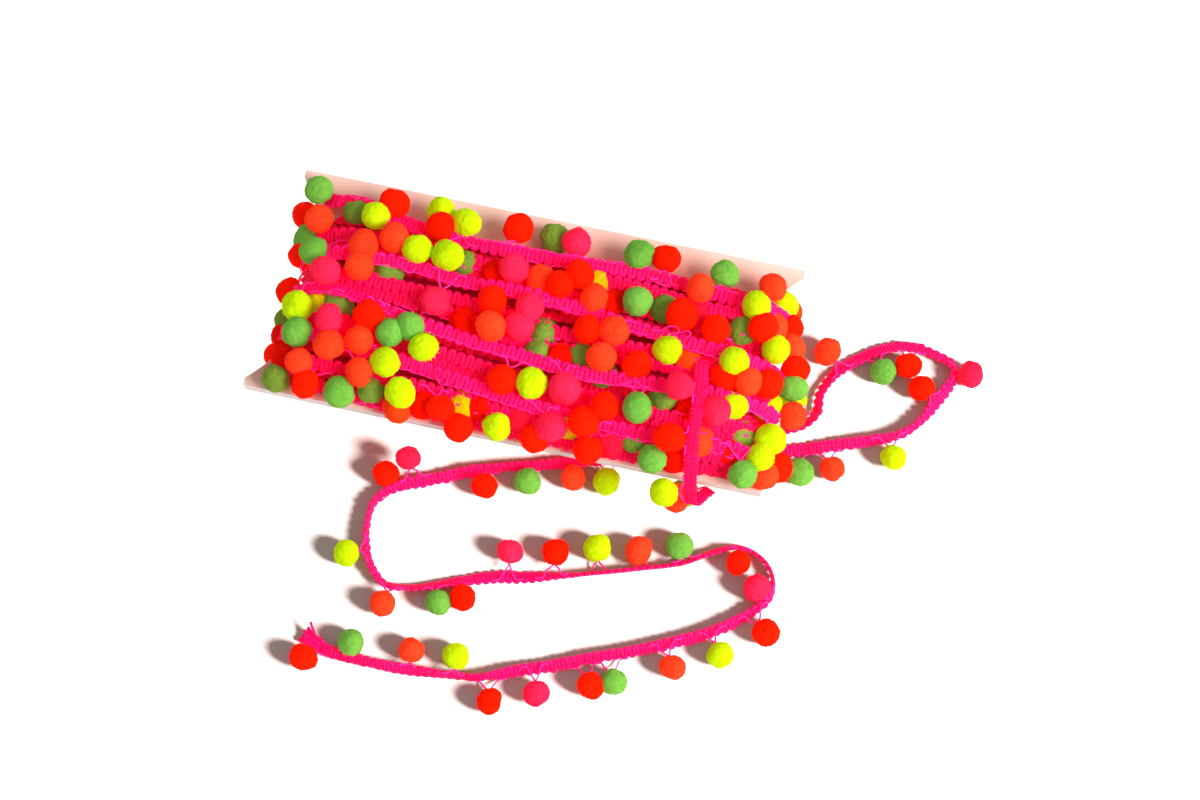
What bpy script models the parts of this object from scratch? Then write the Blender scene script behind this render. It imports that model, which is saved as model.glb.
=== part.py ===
"""Roll of pompom trim: trim wound lengthwise round a notched foam card.

The winding is one solid of its wound form, with its outer turns raised as bands and
its pompoms standing on it. A last turn is strapped across it near one end, a slack
loop lies at that end, and the loose tail lies in bends before it. The frame has X
along the card, Y across it to its far edge and Z up, with the origin on the flat spot
that the winding rests on, under the middle of the card. Sizes are in millimetres.
"""

import math

import bmesh
import bpy
import numpy as np
from mathutils import Matrix, Vector

MM = 0.001
GAP = 0.3  # left between pieces that touch

# The card: a rectangle of foam board with a round notch in each short end.
CARD_LENGTH = 200.0
CARD_WIDTH = 92.0
CARD_THICK = 5.0
CARD_UNDER = 22.0  # height of its underside above the floor
NOTCH_RADIUS = 60.0
NOTCH_DEPTH = 18.0
NOTCH_STEPS = 14

# The trim: a flat braid with a pompom hung every PITCH along one edge.
TAPE_WIDTH = 5.5
TAPE_THICK = 1.6
PITCH = 17.3
BALL_RADIUS = 5.0
BALL_REACH = 1.04 * BALL_RADIUS  # of a faceted pompom's corners
BALL_SINK = 2.0  # of a pompom's threads into it
ROOT_WIDTH = 5.0
ROOT_THICK = 0.9
WOUND_SPIN, LOOSE_SPIN = 2.4, 1.1  # radians that a pompom is turned past the one before
SPIN_TIP, FIRST_TIP = 1.3, 0.4  # how that turn also tips it over

# The wound form: a flat-topped loaf round the card, with rounded ends.
MIDDLE = CARD_UNDER + CARD_THICK / 2
HALF_LENGTH = 95.0
LEFT_SHORT = 8.0  # how much sooner it ends at the left
END_ROUND = 20.0
LOAF_MIDDLE_Y = -3.5
LOAF_HALF_WIDTH = 42.0
RISE_OVER = 11.5  # of the loaf over the card
RISE_UNDER = 13.0
RUN_STEPS = 6  # along a flat run
TURN_STEPS = 6  # round an end

# The flat spot that the loaf rests on, and the bulge above it.
SEAT_LENGTH = 60.0
SEAT_WIDTH = 24.0
SEAT_TOP_LENGTH = 92.0
SEAT_TOP_WIDTH = 50.0
SEAT_HEIGHT = 11.0

# Outer turns. left, right: y of the turn at the two ends; bow: how far it bends aside
# at mid-length; lift: top of the band over the loaf; first: arc length of its first
# pompom from the left end of the upper run; hang: side that its pompoms hang on.
TURNS = (
    # left, right,  bow, lift, first, hang
    (-36.5, -37.5, -3.5, 1.2, 12.0, 1),
    (-28.0, -31.3, -0.8, 4.0, 8.0, -1),
    (-17.5, -25.2, 0.0, 1.5, 0.0, 1),
    (-5.5, -19.0, 0.0, 4.0, 11.0, -1),
    (3.5, -8.5, 0.0, 1.3, 5.0, 1),
    (13.3, 0.0, 0.0, 4.0, 9.0, 1),
    (20.0, 11.5, 0.0, 1.2, 2.0, -1),
    (26.5, 22.5, 0.8, 4.0, 13.0, 1),
    (33.0, 31.5, 1.2, 1.4, 6.0, 1),
)
HANG = 6.5  # pompom's middle from the tape's middle, on the roll
SIT = 4.3  # pompom's middle over the loaf
TOUCH = 1.9 * BALL_RADIUS  # nearest that two pompoms' middles are pressed together
SLACK = 3.2  # that a pompom's threads let it move
SETTLE_ROUNDS, SETTLE_SHARE = 80, 0.45  # of pushing crowded pompoms apart
CLOSE = 0.1  # counts as touching
ON_CARD = 0.7  # of a pompom's radius that lies over the card where it rests on it
ROOM_ROWS, ROOM_STEPS = 34, 160  # places across and round the loaf that hold pompoms
RIM = 1.0  # of the loaf's edges that hold none
HORN_Y = 30.0  # half width of the loaf between the card's horns
PATH_STEPS = 480  # along one turn
VALLEY = 1.0  # of a band's sloping side across the loaf
VALLEY_SHARE = 0.35  # most of the room between two bands that one side takes
EDGE_ROOM = 1.4  # beyond the outermost bands
NEAR_LIMIT, FAR_LIMIT = -43.5, 38.2  # y of the outermost pompoms
UNDER_BARE = 62.0  # half length of the underside whose pompoms are pressed in

# Loose trim. Routes: x, y of the braid's middle and lean, its angle up from the floor
# (0 lies flat, 90 stands on edge). Heights follow from the lean, plus rise off the floor.
TAIL_ROUTE = (
    # x, y, lean, rise
    (-55.0, -130.0, 20, 0), (-46.0, -133.5, 25, 0), (-34.0, -134.5, 50, 0),
    (-22.0, -134.5, 50, 0), (-11.0, -134.0, 50, 0), (0.0, -133.0, 75, 0),
    (12.0, -131.0, 75, 0), (24.0, -126.0, 40, 0), (36.0, -121.5, 30, 0),
    (50.0, -115.5, 45, 0), (66.0, -109.0, 45, 0), (81.0, -102.0, 40, 0),
    (94.0, -95.0, 45, 0), (104.0, -87.0, 55, 0), (110.5, -80.0, 65, 0),
    (112.0, -74.0, 80, 0), (109.5, -67.5, 80, 0), (104.0, -63.0, 75, 0),
    (96.0, -61.5, 70, 0), (87.0, -65.5, 62, 0), (76.0, -72.5, 75, 0),
    (62.0, -77.5, 80, 0), (47.0, -82.5, 78, 0), (34.0, -86.5, 60, 0),
    (20.0, -90.0, 20, 0), (8.0, -92.5, 10, 0), (-7.0, -98.0, 40, 0),
    (-20.0, -103.0, 55, 0), (-31.0, -104.5, 58, 0), (-38.0, -99.5, 60, 0),
    (-42.5, -91.5, 68, 0), (-44.5, -82.0, 80, 0), (-43.5, -72.5, 75, 0),
    (-36.0, -65.5, 55, 0), (-24.0, -60.0, 30, 0), (-11.0, -54.0, 45, 0),
    (3.0, -49.0, 70, 0), (17.0, -45.0, 55, 0), (30.0, -40.5, 45, 0),
    (41.0, -37.0, 30, 0.5), (51.0, -37.0, 20, 4.3), (60.0, -37.3, 10, 8.2),
)
LOOP_ROUTE = (
    # x, y, lean, rise
    (84.0, -25.5, 10, 7.6), (91.0, -23.5, 10, 4.0), (99.0, -21.5, 10, 1.0),
    (108.0, -19.0, 10, 0), (118.0, -15.3, 10, 0),
    (128.0, -12.0, 30, 0), (139.0, -8.0, 50, 0), (149.0, -3.5, 65, 0),
    (156.0, 4.0, 60, 0), (160.5, 13.0, 30, 0), (164.5, 21.0, 45, 0),
    (165.5, 27.5, 70, 0), (160.0, 31.5, 45, 0), (149.0, 33.5, 48, 0),
    (139.0, 31.5, 50, 0), (128.0, 24.5, 40, 0), (119.5, 15.5, 50, 0),
    (115.5, 6.0, 75, 0), (115.5, -2.0, 65, 0), (110.5, -8.5, 60, 0),
    (102.0, -12.5, 50, 0.3), (94.0, -14.8, 30, 2.0), (86.0, -16.0, 15, 4.6),
)
TAPE_STEP = 7.0  # between sections of a loose braid
STRAP_STEP = 3.0
LOOSE_ROOM, STRAP_ROOM = 1.0, 2.0  # from loose trim to the pompoms on the winding
ON_FLOOR = 0.15  # slack yarns hold the braid this much off the floor

# Pompoms of the loose trim in order along it, all hung from one edge of the braid, which
# twists. many: how many alike; side: 1 left or -1 right of the braid; reach: from its
# middle; ahead: of the even pitch; up: off the floor.
TAIL_POMPOMS = (
    # many, side, reach, ahead, up
    (1, -1, 7.5, 4.0, 0.0), (1, 1, 5.0, 0.0, 0.0), (2, 1, 6.8, 6.0, 0.0),
    (2, -1, 10.0, 1.5, 0.0), (1, -1, 10.7, 3.5, 0.0), (1, -1, 10.8, -4.5, 0.0),
    (3, -1, 9.7, 0.0, 0.0), (1, 1, 5.8, -8.5, 0.0), (1, 1, 6.6, 0.0, 0.0),
    (2, -1, 6.5, 5.0, 0.0), (3, -1, 9.0, 3.5, 0.0), (1, 1, 7.2, 5.0, 0.0),
    (3, 1, 7.5, -3.0, 0.0), (1, 1, 5.8, 8.0, 0.0), (1, 1, 7.5, -1.0, 6.0),
    (3, -1, 7.4, 9.0, 0.0), (1, -1, 10.5, 5.0, 0.0),
)
LOOP_POMPOMS = (
    # many, side, reach, ahead, up
    (1, -1, 7.9, 5.5, 0.0), (1, -1, 8.4, 2.8, 2.5), (1, -1, 10.4, -6.2, 0.0),
    (1, -1, 10.4, -10.7, 0.0), (1, -1, 9.0, -4.2, 0.0), (1, 1, 7.7, 4.0, 0.0),
    (1, -1, 5.6, 1.0, 0.0), (1, 1, 9.1, 6.0, 0.0), (1, 1, 9.7, 4.0, 0.0),
    (1, -1, 8.2, 1.0, 0.0), (1, -1, 10.0, 9.5, 0.0),
)

# The strap: the last turn, pulled across the roll and tucked under the card's near edge.
STRAP_ROUTE = (
    # x, y, z of the braid's middle
    (69.0, -6.0, 42.2), (69.8, -13.0, 44.6), (70.6, -21.0, 45.0), (71.0, -29.0, 44.3),
    (70.8, -36.0, 42.3), (70.4, -42.0, 37.2), (70.6, -47.5, 31.5), (71.4, -50.4, 25.0),
    (74.0, -48.5, 18.4), (79.0, -43.5, 15.5),
)
STRAP_POMPOMS = (
    # x, y, z of the pompom's middle
    (62.6, -18.6, 48.6), (62.4, -37.5, 44.6), (63.4, -51.2, 28.0),
)

TRIM_COLOUR = (0.95, 0.02, 0.2)
CARD_COLOUR = (0.9, 0.88, 0.87)


# ---------------------------------------------------------------- meshes and objects

def finish(name, solid, colour, roughness):
    """Scale a millimetre mesh to metres and make it a named object with its material."""
    bmesh.ops.scale(solid, vec=(MM, MM, MM), verts=solid.verts)
    bmesh.ops.recalc_face_normals(solid, faces=solid.faces)
    mesh = bpy.data.meshes.new(name)
    solid.to_mesh(mesh)
    solid.free()
    thing = bpy.data.objects.new(name, mesh)
    bpy.context.scene.collection.objects.link(thing)
    material = bpy.data.materials.new(name)
    material.use_nodes = True
    surface = material.node_tree.nodes["Principled BSDF"]
    surface.inputs["Base Color"].default_value = (*colour, 1.0)
    surface.inputs["Roughness"].default_value = roughness
    surface.inputs["Metallic"].default_value = 0.0
    mesh.materials.append(material)
    return thing


def guide(name, solid):
    """An object that only feeds a Boolean."""
    thing = finish(name, solid, (0.5, 0.5, 0.5), 0.5)
    thing.hide_render = True
    thing.display_type = "WIRE"
    return thing


def combine(thing, operand, operation):
    """Cut an object by a guide, or join the guide to it."""
    change = thing.modifiers.new(operand.name, "BOOLEAN")
    change.operation = operation
    change.solver = "EXACT"
    change.use_self = operation == "UNION"
    change.object = operand


def add_rings(solid, rings):
    """Skin a row of equal rings of points and close its two ends."""
    made = [[solid.verts.new(point) for point in ring] for ring in rings]
    for ring, following in zip(made, made[1:]):
        for i in range(len(ring)):
            j = (i + 1) % len(ring)
            solid.faces.new((ring[i], ring[j], following[j], following[i]))
    solid.faces.new(list(reversed(made[0])))
    solid.faces.new(made[-1])


def add_ball(solid, middle, turn, sides=6, rows=4):
    """A faceted pompom, turned so that neighbours don't line up."""
    tip = SPIN_TIP * turn + FIRST_TIP
    spin = Matrix.Rotation(turn, 4, "Z") @ Matrix.Rotation(tip, 4, "X")
    bmesh.ops.create_uvsphere(
        solid, u_segments=sides, v_segments=rows, radius=BALL_REACH,
        matrix=Matrix.Translation(Vector(middle)) @ spin)


# ---------------------------------------------------------------- the card

def card_outline(grow=0.0):
    """The card from above, anticlockwise, grown all round by a clearance."""
    half_width = CARD_WIDTH / 2 + grow
    centre = CARD_LENGTH / 2 - NOTCH_DEPTH + NOTCH_RADIUS
    radius = NOTCH_RADIUS - grow
    reach = CARD_LENGTH / 2 + grow
    open_angle = math.acos((centre - reach) / radius)
    steps = [open_angle * (2 * i / NOTCH_STEPS - 1) for i in range(NOTCH_STEPS + 1)]
    right = [(centre - radius * math.cos(a), radius * math.sin(a)) for a in steps]
    left = [(-x, -y) for x, y in right]
    tips = [(reach, half_width), (-reach, half_width),
            (-reach, -half_width), (reach, -half_width)]
    return right + tips[:2] + left + tips[2:]


def card_solid(grow=0.0):
    solid = bmesh.new()
    low, high = CARD_UNDER - grow, CARD_UNDER + CARD_THICK + grow
    outline = card_outline(grow)
    add_rings(solid, [[(x, y, z) for x, y in outline] for z in (low, high)])
    return solid


def over_card(x, y):
    """Whether a pompom at a place touches the card's outline from above."""
    centre = CARD_LENGTH / 2 - NOTCH_DEPTH + NOTCH_RADIUS
    beyond_notch = math.hypot(centre - abs(x), y) > NOTCH_RADIUS - ON_CARD * BALL_RADIUS
    return abs(x) < CARD_LENGTH / 2 + BALL_RADIUS and beyond_notch


# ---------------------------------------------------------------- the wound form

def crown(y, rise):
    """Height of the loaf over the middle of the card at a place across it."""
    across = min(abs(y - LOAF_MIDDLE_Y) / LOAF_HALF_WIDTH, 1.0)
    return CARD_THICK / 2 + rise * math.sqrt(1 - across * across)


def skin(way, y, lift=0.0):
    """A point on the loaf. way runs from 0 to 4: over, right end, under, left end."""
    right = HALF_LENGTH - END_ROUND
    left = LEFT_SHORT - right
    over, under = crown(y, RISE_OVER) + lift, crown(y, RISE_UNDER) + lift
    round_end = END_ROUND + lift
    stretch, part = int(way) % 4, way - int(way)
    if stretch == 0:
        return Vector((left + (right - left) * part, y, MIDDLE + over))
    if stretch == 2:
        return Vector((right + (left - right) * part, y, MIDDLE - under))
    angle = math.pi * (0.5 - part)
    if stretch == 3:
        angle = -angle
    tall = over if angle > 0 else under
    end, side = (right, 1) if stretch == 1 else (left, -1)
    return Vector((end + side * round_end * math.cos(angle), y, MIDDLE + tall * math.sin(angle)))


def ways():
    """Section places round the loaf."""
    steps = (RUN_STEPS, TURN_STEPS) * 2
    return [stretch + i / n for stretch, n in enumerate(steps) for i in range(n)]


def out_of(way, y):
    """The loaf's outward direction."""
    nudge = 0.02
    along = skin(way + nudge, y) - skin(way - nudge if way > nudge else way + 3.98, y)
    across = skin(way, y + nudge) - skin(way, y - nudge)
    return across.cross(along).normalized() * -1


def turn_y(turn, way):
    """How far across the loaf a turn lies."""
    left, right, bow = turn[:3]
    stretch, part = int(way) % 4, way - int(way)
    along = (part, 1.0, 1.0 - part, 0.0)[stretch]
    return left + (right - left) * along + bow * 4 * along * (1 - along)


def ridged_rings():
    """Outlines round the loaf, from its near edge to its far one, raised at each turn."""
    half = TAPE_WIDTH / 2
    lines = [(lambda way: LOAF_MIDDLE_Y - LOAF_HALF_WIDTH, 0.0)]
    for near, turn, far in zip((None, *TURNS), TURNS, (*TURNS[1:], None)):
        for side, other in ((-1, near), (1, far)):
            def edge(way, turn=turn, side=side):
                return turn_y(turn, way) + side * half

            def foot(way, turn=turn, side=side, other=other):
                room = EDGE_ROOM if other is None else (
                    abs(turn_y(other, way) - turn_y(turn, way)) - TAPE_WIDTH)
                return turn_y(turn, way) + side * (half + min(VALLEY, VALLEY_SHARE * room))

            pair = [(foot, 0.0), (edge, turn[3])]
            lines += pair if side < 0 else reversed(pair)
    lines.append((lambda way: LOAF_MIDDLE_Y + LOAF_HALF_WIDTH, 0.0))
    return [[skin(way, line(way), lift) for way in ways()] for line, lift in lines]


def seat_rings():
    """The bulge that ends in the flat spot."""
    sizes = ((SEAT_LENGTH, SEAT_WIDTH, 0.0), (SEAT_TOP_LENGTH, SEAT_TOP_WIDTH, SEAT_HEIGHT))
    corners = ((-0.5, -0.5), (0.5, -0.5), (0.5, 0.5), (-0.5, 0.5))
    return [[(i * long, j * wide, z) for i, j in corners] for long, wide, z in sizes]


def hung_pompoms(turn):
    """Middles of a turn's pompoms, at even arc lengths along its braid."""
    lift, first, hang = turn[3:]
    fine = [4 * i / PATH_STEPS for i in range(PATH_STEPS + 1)]
    path = [skin(way, turn_y(turn, way), lift) for way in fine]
    gone = np.cumsum([0.0] + [(b - a).length for a, b in zip(path, path[1:])])
    middles = []
    for length in np.arange(first, gone[-1] - PITCH / 2, PITCH):
        way = float(np.interp(length, gone, fine))
        y = turn_y(turn, way) + hang * HANG
        middle = skin(way, y) + out_of(way, y) * SIT
        middles.append(middle)
    return middles


def settle(middles):
    """Push crowded pompoms apart, each no further than its threads let it."""
    start = np.array(middles)
    places = start.copy()
    for _ in range(SETTLE_ROUNDS):
        apart = places[:, None] - places[None]
        distance = np.linalg.norm(apart, axis=2) + np.eye(len(places)) * 1e6
        push = np.clip(TOUCH - distance, 0, None) / distance * SETTLE_SHARE
        places = places + (apart * push[:, :, None]).sum(axis=1)
        moved = places - start
        length = np.maximum(np.linalg.norm(moved, axis=1, keepdims=True), 1e-9)
        places = start + moved * np.minimum(1.0, SLACK / length)
    return [Vector(place) for place in places]


def rest_on_card(middle):
    """Lift a pompom clear of the card, and hold it in over its margins and the floor."""
    x, y, z = middle
    y = max(NEAR_LIMIT, min(FAR_LIMIT, y))
    z = max(BALL_REACH + CLOSE, z)
    if over_card(x, y):
        clear = CARD_THICK / 2 + BALL_REACH + 2 * GAP
        z = max(z, MIDDLE + clear) if z > MIDDLE else min(z, MIDDLE - clear)
    return Vector((x, y, z))


def loaf_points():
    """Places all over the loaf that the card leaves free."""
    reach = LOAF_HALF_WIDTH - RIM
    rows = np.linspace(LOAF_MIDDLE_Y - reach, LOAF_MIDDLE_Y + reach, ROOM_ROWS)
    places = [skin(4 * i / ROOM_STEPS, y) for i in range(ROOM_STEPS) for y in rows]
    free = [p for p in places if abs(p.z - MIDDLE) > CARD_THICK or abs(p.y) < HORN_Y]
    return np.array(free)


def winding_pompoms(loose):
    """Pompoms that stand on the winding, away from what presses it and loose trim."""
    middles = [middle for turn in TURNS for middle in hung_pompoms(turn)]
    middles = [rest_on_card(middle) for middle in settle(middles)]
    loaf = loaf_points()
    kept = []
    for middle in middles:
        pressed = middle.z < MIDDLE and abs(middle.x) < UNDER_BARE
        held = np.linalg.norm(loaf - np.array(middle), axis=1).min() < BALL_RADIUS + CLOSE
        free = all((middle - place).length > room for place, room in loose)
        if held and free and not pressed:
            kept.append(middle)
    return kept


def make_winding(loose):
    solid = bmesh.new()
    add_rings(solid, ridged_rings())
    winding = finish("winding", solid, TRIM_COLOUR, 0.8)
    proud = bmesh.new()
    add_rings(proud, seat_rings())
    for i, middle in enumerate(winding_pompoms(loose)):
        add_ball(proud, middle, WOUND_SPIN * i, sides=5)
    combine(winding, guide("room for the card", card_solid(GAP)), "DIFFERENCE")
    combine(winding, guide("pompoms and seat", proud), "UNION")


# ---------------------------------------------------------------- loose trim

def smooth(route, step):
    """Points about a step apart on a smooth curve through a route, end to end."""
    route = np.array(route, dtype=float)
    ends = [2 * route[0] - route[1]], [2 * route[-1] - route[-2]]
    stops = np.vstack((ends[0], route, ends[1]))
    fine = []
    for a, b, c, d in zip(stops, stops[1:], stops[2:], stops[3:]):
        for t in np.arange(0, 1, 0.05):
            turn = (3 * (b - c) + d - a) * t ** 3 + (2 * a - 5 * b + 4 * c - d) * t ** 2
            fine.append((turn + (c - a) * t + 2 * b) / 2)
    fine = np.array(fine + [route[-1]])
    gone = np.cumsum(np.append(0, np.linalg.norm(np.diff(fine[:, :3], axis=0), axis=1)))
    marks = np.linspace(0, gone[-1], round(gone[-1] / step) + 1)
    return np.column_stack([np.interp(marks, gone, column) for column in fine.T]), marks


def on_floor(route):
    """Give a loose route its heights: (x, y, z, lean) from (x, y, lean, rise)."""
    placed = []
    for x, y, lean, rise in route:
        angle = math.radians(lean)
        half = (TAPE_WIDTH * math.sin(angle) + TAPE_THICK * math.cos(angle)) / 2
        placed.append((x, y, half + ON_FLOOR + rise, lean))
    return placed


def heading(points, i):
    """The way a line of points runs at one of them."""
    after, before = points[min(i + 1, len(points) - 1)], points[max(i - 1, 0)]
    return Vector(after[:3] - before[:3]).normalized()


def tape_section(middle, across, up):
    """The four corners of a braid's section."""
    wide, thick = across * TAPE_WIDTH / 2, up * TAPE_THICK / 2
    middle = Vector(middle)
    return [middle - wide - thick, middle + wide - thick,
            middle + wide + thick, middle - wide + thick]


def add_loose_braid(solid, points):
    """A braid that twists between lying flat and standing on edge, level on the floor."""
    rings = []
    for i, point in enumerate(points):
        along = heading(points, i)
        left = Vector((-along.y, along.x, 0)).normalized()
        angle = math.radians(point[3])
        across = left * math.cos(angle) + Vector((0, 0, math.sin(angle)))
        up = Vector((0, 0, math.cos(angle))) - left * math.sin(angle)
        rings.append(tape_section(point[:3], across, up))
    add_rings(solid, rings)


def add_root(solid, foot, middle, along):
    """The threads of a pompom: a wedge from the braid's edge into the ball."""
    towards = (middle - foot).normalized()
    up = along.cross(towards).normalized() * ROOT_THICK / 2
    tip = middle - towards * (BALL_RADIUS - BALL_SINK)
    rings = []
    for place, half in ((foot, along * ROOT_WIDTH / 2), (tip, along * ROOT_WIDTH / 6)):
        rings.append([place - half - up, place + half - up,
                      place + half + up, place - half + up])
    add_rings(solid, rings)


def loose_pompoms(points, marks, table):
    """Foot on the braid, direction along it and middle, for each pompom of a table."""
    hung = []
    rows = [row[1:] for row in table for _ in range(row[0])]
    for i, (side, reach, ahead, up) in enumerate(rows):
        length = min(max(i * PITCH + ahead, 0.0), marks[-1])
        foot = Vector([np.interp(length, marks, points[:, k]) for k in range(3)])
        along = heading(points, int(np.argmin(abs(marks - length))))
        along = Vector((along.x, along.y, 0)).normalized()
        left = Vector((-along.y, along.x, 0))
        middle = foot + left * side * reach
        middle.z = BALL_REACH + up
        hung.append((foot, along, middle))
    return hung


def make_trim(name, braid, hung):
    """One solid of a braid and the pompoms that hang from it."""
    trim = finish(name, braid, TRIM_COLOUR, 0.8)
    rest = bmesh.new()
    for i, (foot, along, middle) in enumerate(hung):
        add_root(rest, foot, middle, along)
        add_ball(rest, middle, LOOSE_SPIN * i)
    combine(trim, guide(name + " pompoms", rest), "UNION")


def make_loose(name, route, table):
    points, marks = smooth(on_floor(route), TAPE_STEP)
    braid = bmesh.new()
    add_loose_braid(braid, points)
    hung = loose_pompoms(points, marks, table)
    make_trim(name, braid, hung)
    room = BALL_RADIUS + TAPE_WIDTH / 2 + LOOSE_ROOM
    return ([(Vector(point[:3]), room) for point in points]
            + [(middle, 2 * BALL_RADIUS + LOOSE_ROOM) for _, _, middle in hung])


def make_strap():
    points, marks = smooth(STRAP_ROUTE, STRAP_STEP)
    braid = bmesh.new()
    rings = []
    for i, point in enumerate(points):
        along = heading(points, i)
        across = (Vector((1, 0, 0)) - along * along.x).normalized()
        rings.append(tape_section(point, across, along.cross(across)))
    add_rings(braid, rings)
    hung = []
    for place in STRAP_POMPOMS:
        middle = Vector(place)
        nearest = min(range(len(points)), key=lambda i: (Vector(points[i]) - middle).length)
        hung.append((Vector(points[nearest]), heading(points, nearest), middle))
    make_trim("strap", braid, hung)
    room = BALL_RADIUS + TAPE_THICK / 2 + STRAP_ROOM
    return ([(Vector(point), room) for point in points]
            + [(middle, 2 * BALL_RADIUS + LOOSE_ROOM) for _, _, middle in hung])


def main():
    for thing in list(bpy.data.objects):
        bpy.data.objects.remove(thing, do_unlink=True)
    finish("card", card_solid(), CARD_COLOUR, 0.55)
    loose = make_strap()
    loose += make_loose("loop", LOOP_ROUTE, LOOP_POMPOMS)
    loose += make_loose("tail", TAIL_ROUTE, TAIL_POMPOMS)
    make_winding(loose)


main()
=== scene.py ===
"""Dresses the roll of pompom trim: braid, threads, shorn pompoms and foam card."""

import math

import bmesh
import bpy
import numpy as np
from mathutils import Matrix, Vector


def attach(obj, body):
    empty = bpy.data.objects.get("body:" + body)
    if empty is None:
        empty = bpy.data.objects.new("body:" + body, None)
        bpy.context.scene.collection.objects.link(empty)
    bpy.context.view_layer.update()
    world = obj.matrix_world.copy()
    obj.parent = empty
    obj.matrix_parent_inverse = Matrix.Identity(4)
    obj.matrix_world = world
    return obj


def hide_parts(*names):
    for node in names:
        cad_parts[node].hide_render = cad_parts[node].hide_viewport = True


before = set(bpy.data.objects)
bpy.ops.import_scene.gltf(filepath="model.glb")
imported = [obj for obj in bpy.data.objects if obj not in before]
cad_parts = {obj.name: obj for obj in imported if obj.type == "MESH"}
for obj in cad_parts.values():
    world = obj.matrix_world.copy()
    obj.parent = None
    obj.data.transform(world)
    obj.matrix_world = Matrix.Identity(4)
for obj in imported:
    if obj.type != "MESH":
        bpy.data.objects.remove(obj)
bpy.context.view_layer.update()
MM = 0.001


# ---------------------------------------------------------------- floor, light, camera
# The roll lies on a white table top and is seen from high in front and a little to its
# right, in daylight that comes in low from the right.

AIM = Vector((31.6, -13.8, 0.0)) * MM
CAMERA_AZIMUTH = math.radians(12.4)
CAMERA_ELEVATION = math.radians(71.0)
CAMERA_DISTANCE = 0.785
FOCAL_LENGTH = 60.0
FILM_WIDTH = 36.0
DAYLIGHT = 0.52

lens = bpy.data.cameras.new("camera")
lens.lens = FOCAL_LENGTH
lens.sensor_width = FILM_WIDTH
camera = bpy.data.objects.new("camera", lens)
bpy.context.scene.collection.objects.link(camera)
back = Vector((math.sin(CAMERA_AZIMUTH) * math.cos(CAMERA_ELEVATION),
               -math.cos(CAMERA_AZIMUTH) * math.cos(CAMERA_ELEVATION),
               math.sin(CAMERA_ELEVATION)))
camera.location = AIM + back * CAMERA_DISTANCE
camera.rotation_mode = "QUATERNION"
camera.rotation_quaternion = (-back).to_track_quat("-Z", "Y")
bpy.context.scene.camera = camera
bpy.context.scene.view_settings.view_transform = "Standard"


def soft_light(name, place, size, power):
    """A round lamp, all in metres and watts, that faces the roll."""
    panel = bpy.data.lights.new(name, "AREA")
    panel.shape = "DISK"
    panel.size = size
    panel.energy = power
    light = bpy.data.objects.new(name, panel)
    bpy.context.scene.collection.objects.link(light)
    light.location = place
    light.rotation_mode = "QUATERNION"
    light.rotation_quaternion = (AIM - Vector(place)).to_track_quat("-Z", "Y")
    return light


window = soft_light("window", place=(1.16, -0.28, 1.02), size=1.0, power=42.0)
low_window = soft_light("low_window", place=(2.54, -0.62, 1.68), size=0.9, power=660.0)
sky = bpy.data.worlds.new("daylight")
sky.use_nodes = True
background = sky.node_tree.nodes["Background"]
background.inputs["Color"].default_value = (1.0, 1.0, 1.0, 1.0)
background.inputs["Strength"].default_value = DAYLIGHT
bpy.context.scene.world = sky


# ---------------------------------------------------------------- the braid
# A flat braid 5.5 mm wide of polyester yarn in hot pink: a thick yarn is laid to and fro in close
# ribs, its round turns scalloping both edges. A warp runs within, dyed a darker crimson as
# painted shade in the grooves between the ribs, and two fine lines of chain stitch hold each
# face.

class Wire:
    """An output of a material's node, with arithmetic."""

    def __init__(self, dye, socket):
        self.dye = dye
        self.socket = socket

    def work_out(self, operation, other):
        return self.dye.node("ShaderNodeMath", {"operation": operation}, {0: self, 1: other})

    def __add__(self, other):
        return self.work_out("ADD", other)

    __radd__ = __add__

    def __mul__(self, other):
        return self.work_out("MULTIPLY", other)

    __rmul__ = __mul__


class Dye:
    """A material, its Principled surface and the nodes that feed it."""

    def __init__(self, name, colour, roughness, **constants):
        self.material = bpy.data.materials.new(name)
        self.material.use_nodes = True
        self.tree = self.material.node_tree
        self.surface = self.tree.nodes["Principled BSDF"]
        self.set("Base Color", (*colour, 1.0))
        self.set("Roughness", roughness)
        for socket, value in constants.items():
            self.set(socket.replace("_", " "), value)
        self.place = self.node("ShaderNodeTexCoord", out="Object")

    def set(self, socket, value):
        self.fill(self.surface, {socket: value})

    def fill(self, node, inputs):
        for key, value in inputs.items():
            if isinstance(value, Wire):
                self.tree.links.new(value.socket, node.inputs[key])
            else:
                node.inputs[key].default_value = value

    def node(self, kind, settings=None, inputs=None, out=0):
        node = self.tree.nodes.new(kind)
        for name, value in (settings or {}).items():
            setattr(node, name, value)
        self.fill(node, inputs or {})
        return Wire(self, node.outputs[out])

    def noise(self, scale, detail=2.0, roughness=0.5):
        return self.node("ShaderNodeTexNoise", {}, {
            "Vector": self.place, "Scale": scale, "Detail": detail, "Roughness": roughness})

    def blend(self, factor, first, second):
        """From the first colour to the second as factor goes from 0 to 1."""
        return self.node("ShaderNodeMix", {"data_type": "RGBA"}, {
            "Factor": factor, 6: (*first, 1.0), 7: (*second, 1.0)}, out=2)

    def between(self, value, low, high):
        """0 below low, 1 above high."""
        return self.node("ShaderNodeMapRange", {}, {
            "Value": value, "From Min": low, "From Max": high})

    def bump(self, height, depth):
        self.set("Normal", self.node("ShaderNodeBump", {}, {
            "Height": height, "Distance": depth, "Strength": 1.0}))


# A painted glow: the trim's dyes give off a faint light of their own, which keeps them bright in
# shade.
PAINTED_GLOW = 0.25
YARN_GLOW = (1.0, 0.0, 0.02, 1.0)


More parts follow.
